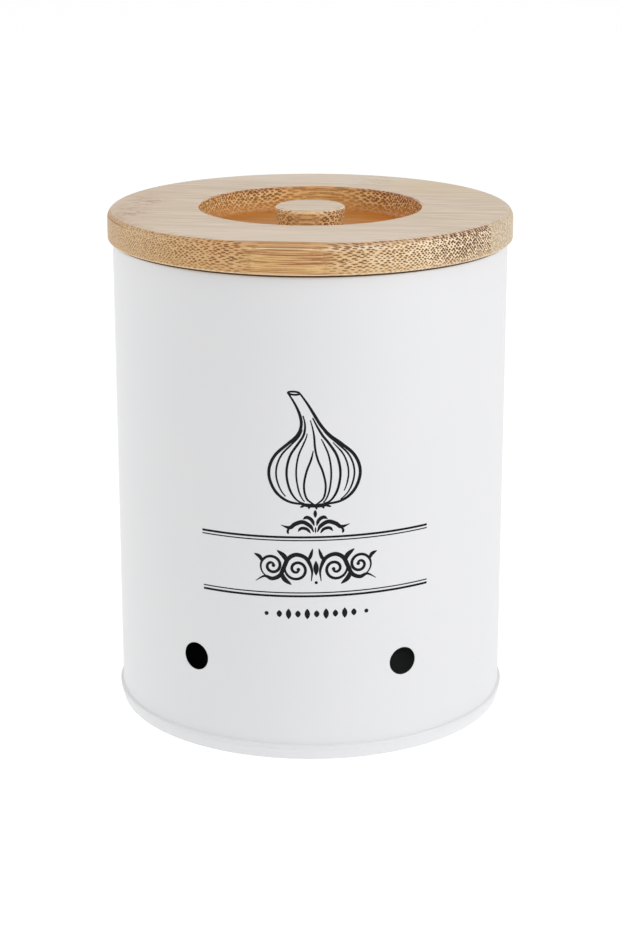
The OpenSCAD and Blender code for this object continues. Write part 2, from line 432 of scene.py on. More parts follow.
def body_mesh():
    """The body's shell. Its section is turned on a grid; then each vent's square of the grid, on both faces
    of the sheet, is swapped for the rings that join the two. Returns points, quads and a mask of the bare
    faces."""
    outer, inner = body_face(SHEET / 2), body_face(-SHEET / 2)[::-1]
    profile = np.vstack([outer, inner])
    angles = wall_columns()
    rows, columns = len(profile), len(angles)
    radius = np.repeat(profile[:, :1], columns, 1)
    for sheet, part in ((SHEET, slice(0, len(outer))), (-SHEET, slice(len(outer), rows))):
        on_wall = np.abs(profile[part, 0] - WALL_MID - sheet / 2) < NEAR
        on_wall = (on_wall & (profile[part, 1] > NECK_C[1]))[:, None]
        radius[part] += np.where(on_wall, lock_seam_offset(angles[None, :], profile[part, 1:], sheet > 0), 0)
    grid = place(radius, angles[None, :], profile[:, 1:]).reshape(-1, 3)
    quads = grid_quads(rows, columns)
    keep = np.ones(quads.shape[:2], bool)
    bare = (np.arange(rows) >= len(outer) - 1) | (np.roll(profile[:, 1], -1) > BODY_H - BARE_EDGE)
    bare = np.repeat(bare[:, None], columns, 1)

    outer_row = wall_row(outer, BODY_R, VENT_Z + VENT_PATCH)
    inner_row = len(outer) + wall_row(inner, BODY_R - SHEET, VENT_Z + VENT_PATCH) - VENT_SIDE
    points, extra, extra_bare = [grid], [], []
    start = len(grid)
    for turn in vent_turns():
        column = int(np.argmin(np.abs(angles - (turn - VENT_PATCH / BODY_R))))
        outer_border = patch_border(rows, columns, outer_row, column)
        inner_border = mirrored_border(patch_border(rows, columns, inner_row, column))
        for row in (outer_row, inner_row):
            keep[row:row + VENT_SIDE, column:column + VENT_SIDE] = False
        rings = vent_rings(turn, grid[outer_border], grid[inner_border])
        points += rings
        count = len(outer_border)
        loops = [start + k * count + np.arange(count) for k in range(len(rings))]
        loops = [outer_border] + loops + [inner_border]
        start += len(rings) * count
        for k, (a, b) in enumerate(zip(loops[:-1], loops[1:])):
            extra.append(np.stack([a, b, np.roll(b, -1), np.roll(a, -1)], -1))
            extra_bare.append(np.full(count, k >= len(VENT_BLENDS) + len(VENT_BEND)))
    quads = np.vstack([quads[keep]] + extra)
    bare = np.concatenate([bare[keep]] + extra_bare)
    used, quads = np.unique(quads, return_inverse=True)
    return np.vstack(points)[used], quads.reshape(-1, 4), bare


def make_body(lacquer, tinplate):
    """The tin's wall: white lacquer outside, bare tinplate inside."""
    points, quads, bare = body_mesh()
    piece = make_piece("tin_wall", points, quads, "tin", [lacquer, tinplate], bare)
    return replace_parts(piece, "body_shell")


def make_base(lacquer, tinplate):
    """The pressed base with its double seam: white lacquer below and outside, bare tinplate above."""
    profile = np.vstack([base_face(SHEET / 2), base_face(-SHEET / 2)[::-1]])
    profile[:, 1] = np.maximum(profile[:, 1], 0)
    points, quads = turned(profile, BASE_COLUMNS)
    piece = make_piece("base", points, quads, "tin", [lacquer, tinplate])
    x, y, z = points[quads].mean(1).T
    normals = np.zeros(len(quads) * 3)
    piece.data.polygons.foreach_get("normal", normals)
    bare = (z > BARE_PANEL_Z) & (np.hypot(x, y) < BODY_R - BARE_PANEL_INSET)
    bare &= normals.reshape(-1, 3)[:, 2] > FACING_UP
    piece.data.polygons.foreach_set("material_index", bare.astype(np.int32))
    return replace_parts(piece, "base_end")


def lid_section():
    """The board's section, from the plug's middle out and up round the rim, and down into the recess to the
    knob."""
    under_z = BODY_H + LID_SEAT
    ring_z = CURL_C[1] - LIP_PITCH / 2 - LIP_RISE
    floor_z = TOP_Z - RECESS_DEPTH
    return section(
        [[0, PLUG_Z], [PLUG_R - PLUG_EDGE, PLUG_Z], [PLUG_R, PLUG_Z + PLUG_EDGE]],
        [[PLUG_R, ring_z - GROOVE_H / 2], [GROOVE_R, ring_z - GROOVE_H / 2]],
        [[GROOVE_R, ring_z + GROOVE_H / 2], [PLUG_R, ring_z + GROOVE_H / 2]],
        [[PLUG_R, under_z], [LID_R - UNDER_EDGE, under_z], [LID_R, under_z + UNDER_EDGE]],
        arc([LID_R - TOP_EDGE, TOP_Z - TOP_EDGE], TOP_EDGE, 0, 90, TOP_EDGE_STEP),
        arc([RECESS_R + RECESS_EDGE, TOP_Z - RECESS_EDGE], RECESS_EDGE, 90, 180),
        arc([RECESS_R - COVE_R, floor_z + COVE_R], COVE_R, 0, -90),
        arc([KNOB_FOOT_R + COVE_R, floor_z + COVE_R], COVE_R, -90, -180),
        arc([KNOB_R - KNOB_EDGE, TOP_Z - KNOB_EDGE], KNOB_EDGE, 0, 90),
        [0, TOP_Z],
    )


def make_lid(bamboo):
    """The bamboo board, turned from its section with the machined corners eased by sanding."""
    points, quads = turned(eased(lid_section(), SANDED_EASE), LID_COLUMNS)
    piece = make_piece("lid_board_finish", points, quads, "lid", [bamboo])
    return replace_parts(piece, "lid_board")


def make_seal(silicone):
    """The silicone ring: a band in the plug's groove with two lips that lean up to the mouth."""
    ring_r = GROOVE_R + RING_PLAY
    ring_h = GROOVE_H - 2 * RING_PLAY
    ring_z = SEAL_LOW.z + ring_h / 2

    def lip(z):
        tip = z + LIP_RISE
        return [[PLUG_R, z - LIP_ROOT / 2], [LIP_R, tip - LIP_TIP / 2],
                [LIP_R, tip + LIP_TIP / 2], [PLUG_R, z + LIP_ROOT / 2]]

    profile = section(
        [[ring_r, ring_z - ring_h / 2], [PLUG_R, ring_z - ring_h / 2]],
        lip(ring_z - LIP_PITCH / 2),
        lip(ring_z + LIP_PITCH / 2),
        [[PLUG_R, ring_z + ring_h / 2], [ring_r, ring_z + ring_h / 2]],
    )
    points, quads = turned(eased(profile, MOULDED_EASE), SEAL_COLUMNS)
    piece = make_piece("seal_ring_finish", points, quads, "lid", [silicone])
    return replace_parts(piece, "seal_ring")


# ======================= Print =======================

def through(points, samples=14):
    """A Catmull-Rom curve: between two points it is the cubic that leaves each along the line joining the
    point's neighbours."""
    p = np.asarray(points, float)
    p = np.vstack([2 * p[0] - p[1], p, 2 * p[-1] - p[-2]])
    t = np.linspace(0, 1, samples, endpoint=False)[None, :, None]
    a, b, c, d = (p[i:len(p) - 3 + i, None, :] for i in range(4))
    square, cube = 2 * a - 5 * b + 4 * c - d, 3 * b - a - 3 * c + d
    curve = 0.5 * (2 * b + (c - a) * t + square * t ** 2 + cube * t ** 3)
    return np.vstack([curve.reshape(-1, 2), p[-2]])


def pen(line, width, start=0.35, end=0.35, swell=0.0):
    """A line's widths: width along it, swelling by that share towards its middle and tapering over its ends
    to the shares start and end."""
    t = np.linspace(0, 1, len(line))
    rise = start + (1 - start) * np.clip(t / PEN_TAPER, 0, 1)
    fall = end + (1 - end) * np.clip((1 - t) / PEN_TAPER, 0, 1)
    return width * np.minimum(rise, fall) * (1 + swell * np.sin(math.pi * t))


def leaf(points, width):
    """A leaf along a curve: its width follows sin(pi t) to the power 0.7, with a point at both ends."""
    line = through(points)
    return line, np.maximum(width * np.sin(math.pi * np.linspace(0, 1, len(line))) ** 0.7, 0.03)


def blot(centre, across, up, power=1.0, samples=16):
    """A filled spot as a short stroke: a vertical line whose width follows (1 - y^2)^(power / 2), which is
    an ellipse at power 1 and a leaf with pointed ends at power 2 or more."""
    y = np.sin(np.linspace(-math.pi / 2, math.pi / 2, samples))
    line = np.column_stack((np.full(samples, centre[0]), centre[1] + y * up / 2))
    return line, np.maximum(across * (1 - y ** 2) ** (power / 2), 0.02)


def volute(centre, outer, inner, start, sweep, samples=60):
    """A spiral round centre whose radius shrinks evenly from outer to inner while its angle, in degrees,
    runs from start through sweep."""
    t = np.linspace(0, 1, samples)
    a = np.radians(start + sweep * t)
    r = outer + (inner - outer) * t
    return np.column_stack((centre[0] + r * np.cos(a), centre[1] + r * np.sin(a)))


def mirrored(strokes):
    """The strokes and their mirror images about the print's upright middle line."""
    return strokes + [(line * [-1, 1], width) for line, width in strokes]


def ribbon(line, width, level):
    """A closed band of ink: the stroke's two edges, width / 2 to each side of its line, once just above the
    tin's wall and once under it. level lifts a stroke a little above those it crosses."""
    along = np.gradient(line, axis=0)
    along /= np.maximum(np.linalg.norm(along, axis=1, keepdims=True), 1e-9)
    side = np.column_stack((-along[:, 1], along[:, 0])) * (np.asarray(width)[:, None] / 2)
    left, right, lift = line + side, line - side, INK_LIFT + level
    tilt = math.radians(PRINT_TILT)
    rails = []
    for edge, radius in ((left, -INK_SINK), (left, lift), (right, lift), (right, -INK_SINK)):
        x, y = edge[:, 0] * MM, edge[:, 1] * MM - PRINT_MIDDLE
        s = x * math.cos(tilt) - y * math.sin(tilt)
        z = x * math.sin(tilt) + y * math.cos(tilt) + PRINT_MIDDLE
        rails.append(place(BODY_R + radius, s / BODY_R, z))
    points = np.stack(rails, 1).reshape(-1, 3)
    i = np.arange(len(line) - 1)[:, None]
    k = np.arange(4)[None, :]
    k1 = (k + 1) % 4
    quads = np.stack([i * 4 + k, i * 4 + k1, (i + 1) * 4 + k1, (i + 1) * 4 + k], -1).reshape(-1, 4)
    last = (len(line) - 1) * 4
    caps = np.array([[3, 2, 1, 0], [last, last + 1, last + 2, last + 3]])
    return points, np.vstack([quads, caps])


def make_print(name, strokes, ink):
    """One motif of the print, a band of ink for each stroke. Strokes are in millimetres, across and up."""
    points, quads, start = [], [], 0
    for n, (line, width) in enumerate(strokes):
        p, q = ribbon(line, width, n % STROKE_LEVELS * STROKE_LIFT)
        points.append(p)
        quads.append(facing_out(p, q) + start)
        start += len(p)
    return make_piece(name, np.vstack(points), np.vstack(quads), "tin", [ink])


RULE_HALF = 36.8
RULES = ((73.7, 0.7), (72.65, 0.38), (55.7, 0.38), (54.6, 0.7))


def rule_strokes():
    """Four straight rules across the print, each given by its height and width."""
    x = np.linspace(-RULE_HALF, RULE_HALF, 120)
    return [(np.column_stack((x, np.full(len(x), z))), np.full(len(x), w)) for z, w in RULES]


BULB_FOOT = 83.8
BULB_SIDE = (
    (1.2, 0.3), (7.6, 1.2), (11.6, 3.9), (13.7, 8.0), (13.8, 12.0), (11.9, 16.0),
    (8.2, 19.4), (4.9, 22.2), (3.0, 25.2), (2.2, 28.4), (1.9, 32.0), (1.75, 35.4),
)
NECK_FROM = 19
NECK_BOW = 0.022
# Each skin line: its share of the bulb's width, the shares of the side line's length between which it runs,
# and its own width
SKIN_LINES = (
    (-1.0, 0.0, 1.0, 0.85), (-0.84, 0.16, 0.70, 0.52), (-0.61, 0.06, 0.82, 0.66), (-0.40, 0.1, 0.66, 0.5),
    (0.36, 0.08, 0.60, 0.52), (0.56, 0.05, 0.80, 0.7), (0.74, 0.2, 0.56, 0.48), (0.87, 0.12, 0.68, 0.52),
    (1.0, 0.0, 1.0, 0.88),
)
CLOVE_SIDE = ((0.4, 0.4), (2.6, 2.4), (3.3, 6.2), (2.5, 10.6), (1.0, 14.6))
CLOVE_TIP = ((0.3, 17.4),)
CLOVE_NECK = ((0.2, 18.6), (0.2, 22.5), (0.3, 27.0))
ROOT_PLATE = ((-4.4, 0.45), (-1.8, 0.05), (1.8, 0), (4.6, 0.5))
# Each root: how far across it starts and ends, how far down it ends, and its width
ROOTS = (
    (-3.4, -4.6, -0.5, 0.5), (-1.6, -2.0, -1.0, 0.6), (0.2, 0.5, -1.2, 0.6), (1.9, 2.8, -0.9, 0.55),
    (3.5, 4.9, -0.4, 0.5),
)


def bulb_strokes():
    """A garlic bulb as a family of lines: each is the bulb's side line, scaled across by its share of the
    width and bent with the stem, between two shares of its length."""
    side = through(BULB_SIDE)
    strokes = []

    def bent(line):
        x, y = line[:, 0], line[:, 1]
        return np.column_stack((x - NECK_BOW * np.clip(y - NECK_FROM, 0, None) ** 2, y + BULB_FOOT))

    for share, start, end, width in SKIN_LINES:
        cut = side[int(start * (len(side) - 1)):int(end * (len(side) - 1)) + 1]
        line = bent(cut * [share, 1])
        strokes.append((line, pen(line, width, 0.7, 0.6, 0.15)))
    for way, tip in ((-1, CLOVE_TIP), (1, CLOVE_NECK)):
        line = bent(through(CLOVE_SIDE + tip) * [way, 1])
        strokes.append((line, pen(line, 0.62, 0.7, 0.5, 0.1)))
    a = np.linspace(0, 2 * math.pi, 25)
    stem_r, stem_top = BULB_SIDE[-1]
    cut_end = bent(np.column_stack((stem_r * np.cos(a), stem_top + 0.5 * np.sin(a))))
    strokes.append((cut_end, np.full(len(cut_end), 0.62)))
    for x0, x1, down, width in ROOTS:
        line = through(((x0 * 0.6, BULB_FOOT + 0.5), (x0, BULB_FOOT), (x1, BULB_FOOT + down)), 8)
        strokes.append((line, pen(line, width * 1.3, 0.8, 0.4)))
    base = through(ROOT_PLATE, 10) + [0, BULB_FOOT]
    strokes.append((base, pen(base, 0.9, 0.3, 0.3, 0.3)))
    return strokes


CREST_FOOT = 74.5
# The right half's leaves and tendril, each with its width, up from the crest's foot
CREST_LEAVES = (
    (((0.35, 2.9), (1.1, 4.7), (2.5, 5.6), (3.8, 5.0)), 0.8),
    (((0.55, 0.9), (1.6, 2.8), (3.9, 4.1), (6.3, 3.4), (7.9, 2.3), (10.6, 3.1)), 0.95),
    (((1.5, 0.5), (2.6, 1.8), (4.3, 2.1), (5.4, 1.0)), 0.7),
    (((8.0, 2.2), (8.5, 1.2), (8.3, 0.2)), 0.55),
)
FLOURISH_MIDDLE = 63.9
BEADS_MIDDLE = 48.8


def crest_strokes():
    """A small palmette on the upper rules: a bud over three pairs of leaves that arch outwards."""
    half = []
    for points, width in CREST_LEAVES:
        line = through(points) + [0, CREST_FOOT]
        half.append((line, pen(line, width, 0.35, 0.15, 0.4)))
    buds = [blot((0, CREST_FOOT + 6.7), 1.1, 2.5, 1.5), blot((0, CREST_FOOT + 1.5), 0.5, 2.0, 1.5)]
    return mirrored(half) + buds


def flourish_strokes():
    """A running scroll between the rules: on each side of a lozenge a stem waves up and down, and in each
    bend a branch curls into a spiral."""
    y = FLOURISH_MIDDLE
    stem = through((
        (1.5, y - 4.4), (1.3, y - 0.8), (2.9, y + 2.9), (5.9, y + 4.2), (8.5, y + 2.9), (9.9, y),
        (11.2, y - 2.6), (13.6, y - 3.7), (16.0, y - 3.0), (18.8, y - 4.6),
    ))
    half = [(stem, pen(stem, 0.95, 0.3, 0.2, 0.45))]
    for centre, outer, start, sweep in (((5.9, y - 0.5), 4.1, 62, -590), ((13.6, y + 0.5), 3.9, -62, 590)):
        line = volute(centre, outer, 0.5, start, sweep)
        half.append((line, pen(line, 0.75, 0.5, 0.8, 0.25)))
        half.append(blot((line[-1, 0], line[-1, 1]), 1.15, 1.15))
    half += [
        leaf(((2.7, y + 2.0), (1.7, y + 3.6), (0.9, y + 6.2)), 1.1),
        leaf(((9.0, y + 1.4), (9.7, y + 3.6), (12.0, y + 5.6)), 1.5),
        leaf(((10.8, y - 1.0), (9.9, y - 3.6), (7.6, y - 5.6)), 1.5),
        leaf(((16.6, y + 1.4), (17.4, y + 3.2), (19.2, y + 4.2)), 1.2),
    ]
    return mirrored(half) + [blot((0, y - 0.2), 1.7, 4.8, 1.9), blot((0, y - 4.9), 1.0, 1.0)]


def bead_strokes():
    """A row of small lozenges with a dot at each end."""
    y = BEADS_MIDDLE
    across = np.linspace(-11.6, 11.6, 9)
    strokes = [blot((x, y), 1.7, 3.4 if i % 2 else 2.3, 1.8) for i, x in enumerate(across)]
    return strokes + [blot((x, y), 1.3, 1.3) for x in (-15.6, 15.6)]


# ======================= Node helpers =======================

class Nodes:
    """Adds shader nodes to a tree and links them. An input takes a socket, number, vector or colour."""

    def __init__(self, tree):
        self.tree = tree

    def add(self, kind, feeds=(), **settings):
        """A node of that kind with its settings, and its inputs fed as (name or number, value) pairs."""
        node = self.tree.nodes.new(kind)
        for key, value in settings.items():
            setattr(node, key, value)
        self.feed(node, dict(feeds))
        return node

    def feed(self, node, feeds):
        """Links each input of a node to its socket, or sets its value. Inputs go by name or number."""
        for key, value in feeds.items():
            if isinstance(value, bpy.types.NodeSocket):
                self.tree.links.new(value, node.inputs[key])
            else:
                node.inputs[key].default_value = value

    def math(self, operation, *values, clamp=False):
        """One step of arithmetic on numbers."""
        return self.add("ShaderNodeMath", enumerate(values), operation=operation, use_clamp=clamp).outputs[0]

    def vector(self, operation, *values):
        """One step of arithmetic on vectors."""
        return self.add("ShaderNodeVectorMath", enumerate(values), operation=operation).outputs[0]

    def scaled(self, vector, factor):
        """A vector times a number."""
        return self.add("ShaderNodeVectorMath", {0: vector, "Scale": factor}, operation="SCALE").outputs[0]

    def length(self, vector):
        """A vector's length."""
        return self.add("ShaderNodeVectorMath", {0: vector}, operation="LENGTH").outputs["Value"]

    def object_mm(self):
        """The place on the object in millimetres."""
        return self.scaled(self.add("ShaderNodeTexCoord").outputs["Object"], 1000.0)

    def split(self, vector):
        """A vector's x, y and z."""
        return self.add("ShaderNodeSeparateXYZ", {0: vector}).outputs

    def join(self, x=0.0, y=0.0, z=0.0):
        """A vector from x, y and z."""
        return self.add("ShaderNodeCombineXYZ", {0: x, 1: y, 2: z}).outputs[0]

    def step(self, value, low, high, start=0.0, end=1.0):
        """A smooth step from start to end while value runs from low to high."""
        feeds = {0: value, 1: low, 2: high, 3: start, 4: end}
        return self.add("ShaderNodeMapRange", feeds, interpolation_type="SMOOTHSTEP").outputs[0]

    def between(self, value, low, high, soft):
        """1 between low and high and 0 outside, with smooth steps of width soft centred on the two ends."""
        rise = self.step(value, low - soft / 2, low + soft / 2)
        return self.math("MULTIPLY", rise, self.step(value, high - soft / 2, high + soft / 2, 1.0, 0.0))

    def product(self, *values):
        """Numbers multiplied together."""
        total = values[0]
        for value in values[1:]:
            total = self.math("MULTIPLY", total, value)
        return total

    def plus(self, value, factor, addend):
        """value * factor + addend."""
        return self.math("MULTIPLY_ADD", value, factor, addend)

    def less(self, value, share=1.0):
        """1 - value * share: 1 where the value is 0, and lower by the share where it is 1."""
        return self.plus(value, -share, 1.0)

    def size_of(self, value):
        """A number without its sign."""
        return self.math("ABSOLUTE", value)

    def mix(self, share, first, second):
        """Two colours mixed by a share."""
        return self.add("ShaderNodeMix", {0: share, 6: first, 7: second}, data_type="RGBA").outputs[2]

    def laid(self, below, *layers):
        """A colour with layers mixed over it in turn, each a share and a colour."""
        for share, over in layers:
            below = self.mix(share, below, over)
        return below

    def noise(self, vector, scale, detail=2.0, roughness=0.5):
        """Noise from 0 to 1."""
        feeds = {"Vector": vector, "Scale": scale, "Detail": detail, "Roughness": roughness}
        return self.add("ShaderNodeTexNoise", feeds).outputs["Fac"]

    def drawn_noise(self, vector, rates, detail=2.0, roughness=0.5):
        """Noise from 0 to 1 that is drawn out along an axis by a low rate, in changes for each unit."""
        return self.noise(self.vector("MULTIPLY", vector, rates), 1.0, detail, roughness)


def colour(red, green, blue):
    """An sRGB colour from 0 to 255 as linear light with alpha 1."""
    c = np.array([red, green, blue]) / 255
    linear = np.where(c <= 0.04045, c / 12.92, ((c + 0.055) / 1.055) ** 2.4)
    return (*linear.tolist(), 1.0)


def new_group(name, inputs, outputs):
    """An empty shader node group with named float or colour sockets. Returns it with its node helper,
    inputs and output node."""
    group = bpy.data.node_groups.new(name, "ShaderNodeTree")
    for socket, kind, default in inputs:
        made = group.interface.new_socket(socket, in_out="INPUT", socket_type=kind)
        made.default_value = default
    for socket, kind in outputs:
        group.interface.new_socket(socket, in_out="OUTPUT", socket_type=kind)
    n = Nodes(group)
    return group, n, n.add("NodeGroupInput").outputs, n.add("NodeGroupOutput")


FLOAT, COLOUR = "NodeSocketFloat", "NodeSocketColor"


def finish_group(group, out, **values):
    """Links the values to the group's outputs by name, with _ for a space."""
    for name, value in values.items():
        group.links.new(value, out.inputs[name.replace("_", " ")])
    return group


def emptied_nodes(owner):
    """The node helper of a material or world, with nothing in its tree."""
    owner.use_nodes = True
    owner.node_tree.nodes.clear()
    return Nodes(owner.node_tree)


def new_material(name):
    """A material with a Principled shader. Returns it with its node helper and shader node."""
    material = bpy.data.materials.new(name)
    n = emptied_nodes(material)
    shader = n.add("ShaderNodeBsdfPrincipled")
    n.add("ShaderNodeOutputMaterial", {0: shader.outputs[0]})
    return material, n, shader


def use_group(n, group, **values):
    """A group's node with its inputs set by name, with _ for a space."""
    node = n.add("ShaderNodeGroup", node_tree=group)
    n.feed(node, {name.replace("_", " "): value for name, value in values.items()})
    return node.outputs


def bump(n, shader, height, strength, distance):
    """A Bump node that feeds the shader's normal."""
    node = n.add("ShaderNodeBump", {"Height": height, "Strength": strength, "Distance": distance})
    n.feed(shader, {"Normal": node.outputs[0]})


# ======================= Finishes =======================

def surface_haze_group():
    """Faint clouding that handling and wiping leave, as a tone from 0 to 1 and a varying roughness."""
    group, n, given, out = new_group(
        "surface_haze",
        [("Patch Size", FLOAT, 20.0), ("Roughness", FLOAT, 0.4), ("Spread", FLOAT, 0.05)],
        [("Cloud", FLOAT), ("Roughness", FLOAT)],
    )
    cloud = n.noise(n.scaled(n.object_mm(), n.math("DIVIDE", 1.0, given["Patch Size"])), 1.0, 3.0)
    rough = n.plus(n.math("SUBTRACT", cloud, 0.5), given["Spread"], given["Roughness"])
    return finish_group(group, out, Cloud=cloud, Roughness=rough)


def sprayed_skin_group():
    """The height of sprayed lacquer's skin: a fine orange peel, and long soft waves of the sheet under it."""
    group, n, given, out = new_group(
        "sprayed_skin",
        [("Peel Size", FLOAT, 0.8), ("Wave", FLOAT, 0.4)],
        [("Height", FLOAT)],
    )
    place_mm = n.object_mm()
    peel = n.noise(n.scaled(place_mm, n.math("DIVIDE", 1.0, given["Peel Size"])), 1.0, 2.0, 0.55)
    wave = n.drawn_noise(place_mm, (0.03, 0.03, 0.012), 1.0)
    return finish_group(group, out, Height=n.plus(wave, given["Wave"], peel))


# The board is looked at along and across its grain, in millimetres from the lid's middle. Left and right
# are the two ends of the grain, below and above 0 along it.
GRAIN_TURN = 7.7
STRIP_W = 17.8
STRIP_EDGE = 64.0
SPARSE_STRIPS = (-28.4, 42.8)
COARSE_STRIP = (-46.2, -28.4)
PALE_STRIPS = (-27.6, 7.0)

BUNDLE_PITCH = 0.9
BUNDLE_PITCH_DENSE = 0.78
BUNDLE_PITCH_COARSE = 1.04
BUNDLE_ROW = 0.6
BUNDLE_SPREAD = 0.2
BUNDLE_WANDER = 0.45

# Each node mark on the top: its middle along and across, half its length and width, and its strength
NODE_MARKS = ((-55.5, -10.0, 5.0, 22.0, 0.8), (17.0, 50.0, 5.0, 8.5, 0.45))


class BoardPlaces:
    """Where a point is on the board, in millimetres, and masks from 0 to 1 of its faces and zones."""

    def __init__(self, n, turned_mm):
        self.mm = turned_mm
        self.along, self.across, height = n.split(turned_mm)
        self.aside = n.size_of(self.across)
        self.depth = n.math("SUBTRACT", TOP_Z / MM, height)
        self.radius = n.length(n.join(self.along, self.across))
        up = n.split(n.add("ShaderNodeNewGeometry").outputs["Normal"])[2]
        # how much a rounded edge faces along the grain
        endwise = n.math("DIVIDE", n.size_of(self.along), n.math("MAXIMUM", self.radius, 1.0))

        self.off_knob = n.step(self.radius, 12.0, 13.0)
        self.off_middle = n.step(self.radius, 16.0, 22.0)
        self.flat = n.step(n.size_of(up), 0.86, 0.97)
        self.inner = n.step(self.radius, RECESS_R / MM + 0.95, RECESS_R / MM + 1.05, 1.0, 0.0)
        above_floor = n.step(self.depth, RECESS_DEPTH / MM + 0.4, RECESS_DEPTH / MM + 0.8, 1.0, 0.0)
        self.routed = n.product(self.inner, above_floor)
        self.outside = n.less(self.routed)
        self.floor = n.product(self.routed, n.step(up, 0.05, 0.7), n.step(self.depth, 6.0, 7.0))
        on_knob = n.step(self.radius, 11.5, 12.5, 1.0, 0.0)
        self.knob = n.product(on_knob, n.step(self.depth, 8.2, 8.8, 1.0, 0.0))

        # the sanded top ends where its rounded edge leans as far as this level
        level = n.step(endwise, 0.06, 0.34, 0.99, 0.87)
        level = n.math("SUBTRACT", level, n.step(self.along, -20.0, -42.0, 0.0, 0.09))
        level = n.math("MINIMUM", level, n.plus(self.off_knob, 0.2, 0.8))
        faces_up = n.step(n.math("SUBTRACT", up, level), -0.012, 0.012)
        self.top = n.product(faces_up, n.step(self.depth, 0.9, 1.1, 1.0, 0.0))
        self.below_top = n.less(self.top)

        # the light line on the edges of recess and knob: a painted highlight on the end grain there
        recess_edge = n.between(self.radius, RECESS_R / MM + 0.1, RECESS_R / MM + 1.0, 0.2)
        recess_edge = n.product(recess_edge, n.step(endwise, 0.9, 0.99))
        knob_edge = n.between(self.radius, KNOB_R / MM - 1.0, KNOB_R / MM - 0.35, 0.1)
        knob_edge = n.product(knob_edge, n.step(endwise, 0.3, 0.8))
        painted_edge_light = n.product(n.math("ADD", recess_edge, knob_edge), n.step(self.depth, 0.4, 0.9, 1.0, 0.0))
        self.edge_highlight = n.product(painted_edge_light, self.below_top)
        # the lower chamfer, lightened as a painted highlight
        to_side = n.step(self.radius, LID_R / MM - 0.7, LID_R / MM - 0.6)
        self.chamfer_highlight = n.product(n.step(self.depth, 9.35, 9.45), to_side)

        # the pale strips at the right end, and the two sides where the rim runs along the grain
        self.pale_end = n.product(n.between(self.across, *PALE_STRIPS, 0.6), n.step(self.along, 48.0, 54.0))
        self.long_side = n.product(n.step(self.aside, 63.0, 64.4), self.outside)


def glued_strips(n, at):
    """The strips that the board is glued from: a random number for each, and a mask of the glue lines."""
    strip = n.math("DIVIDE", n.math("ADD", at.across, STRIP_EDGE), STRIP_W)
    white = n.add("ShaderNodeTexWhiteNoise", {"W": n.math("FLOOR", strip)}, noise_dimensions="1D")
    to_edge = n.math("MULTIPLY", n.math("PINGPONG", strip, 0.5), STRIP_W)
    return white.outputs[0], n.step(to_edge, 0.03, 0.16, 1.0, 0.0)


def fibre_bundles(n, at, random, dot_size):
    """Fibre bundles on a lattice of staggered rows that wanders a little along the grain. Each strip has
    its own place on the lattice. Returns masks of the bundles, which are darkest round their edge, and of
    the gaps."""
    drift = n.math("SUBTRACT", n.drawn_noise(at.mm, (0.035, 0.14, 0.3)), 0.5)
    side = n.math("ADD", n.plus(drift, 1.3, at.across), n.product(random, 9.0))
    row_step = n.plus(at.inner, BUNDLE_SPREAD * BUNDLE_ROW, BUNDLE_ROW)
    row = n.plus(drift, 0.9, n.math("DIVIDE", at.depth, row_step))
    sparse = n.between(at.across, *SPARSE_STRIPS, 0.1)
    coarse = n.between(at.across, *COARSE_STRIP, 0.1)
    pitch = n.plus(sparse, BUNDLE_PITCH - BUNDLE_PITCH_DENSE, BUNDLE_PITCH_DENSE)
    pitch = n.plus(coarse, BUNDLE_PITCH_COARSE - BUNDLE_PITCH_DENSE, pitch)
    pitch = n.product(pitch, n.plus(at.inner, BUNDLE_SPREAD, 1.0))
    side = n.math("DIVIDE", side, pitch)

    # the lattice's own two directions run slantwise, half a row's step to each side
    cell = n.join(n.plus(row, 0.5, side), n.plus(row, -0.5, side))
    cells = n.add("ShaderNodeTexVoronoi", {"Vector": cell, "Scale": 1.0, "Randomness": BUNDLE_WANDER},
                  voronoi_dimensions="2D", feature="F1").outputs
    to_side, to_row, _ = n.split(n.vector("SUBTRACT", cell, cells["Position"]))
    off_side = n.product(n.math("ADD", to_side, to_row), pitch, 0.5)
    off_row = n.product(n.math("SUBTRACT", to_side, to_row), row_step)
    coarse_right = n.product(coarse, n.step(at.along, 0.0, 30.0))
    size = n.product(
        dot_size, n.plus(n.split(cells["Color"])[0], 0.5, 0.75),
        n.plus(at.routed, 0.7, 1.0), n.step(at.along, 38.0, 52.0, 1.0, 1.4), n.plus(coarse_right, 0.06, 1.0),
    )
    share = n.math("DIVIDE", n.length(n.join(off_side, off_row)), size)
    rim, heart = n.step(share, 0.8, 1.15, 1.0, 0.0), n.step(share, 0.1, 0.5, 0.3, 0.0)
    return n.math("SUBTRACT", rim, heart, clamp=True), n.step(share, 1.1, 1.7)


def bundle_clearness(n, at, grit):
    """How clearly the bundles show, as a product of what each zone leaves of them."""
    routed_low = n.product(at.routed, n.step(at.depth, 2.0, 7.0), n.step(at.radius, 12.0, 16.0))
    recess_back = n.product(at.inner, n.step(at.aside, 32.0, 34.8))
    knob_side = n.product(n.less(at.off_knob), n.step(at.aside, 9.5, 10.6))
    return n.product(
        n.math("ADD", n.step(at.along, -63.0, -40.0, 0.78, 0.95), n.step(at.along, 12.0, 44.0, 0.0, 0.1)),
        n.less(at.pale_end, 0.8),
        n.less(at.flat, 0.8),
        n.less(routed_low, 0.6),
        n.math("MAXIMUM", n.step(grit, 0.32, 0.5, 0.35, 1.0), n.step(at.along, 26.0, 42.0)),
        n.less(at.long_side, 0.7),
        n.step(at.depth, 6.2, 10.0, 1.0, 0.5),
        n.less(recess_back, 0.5),
        n.step(n.plus(at.off_knob, 90.0, at.along), -6.0, 4.0, 0.8, 1.0),
        n.less(knob_side, 0.5),
    )


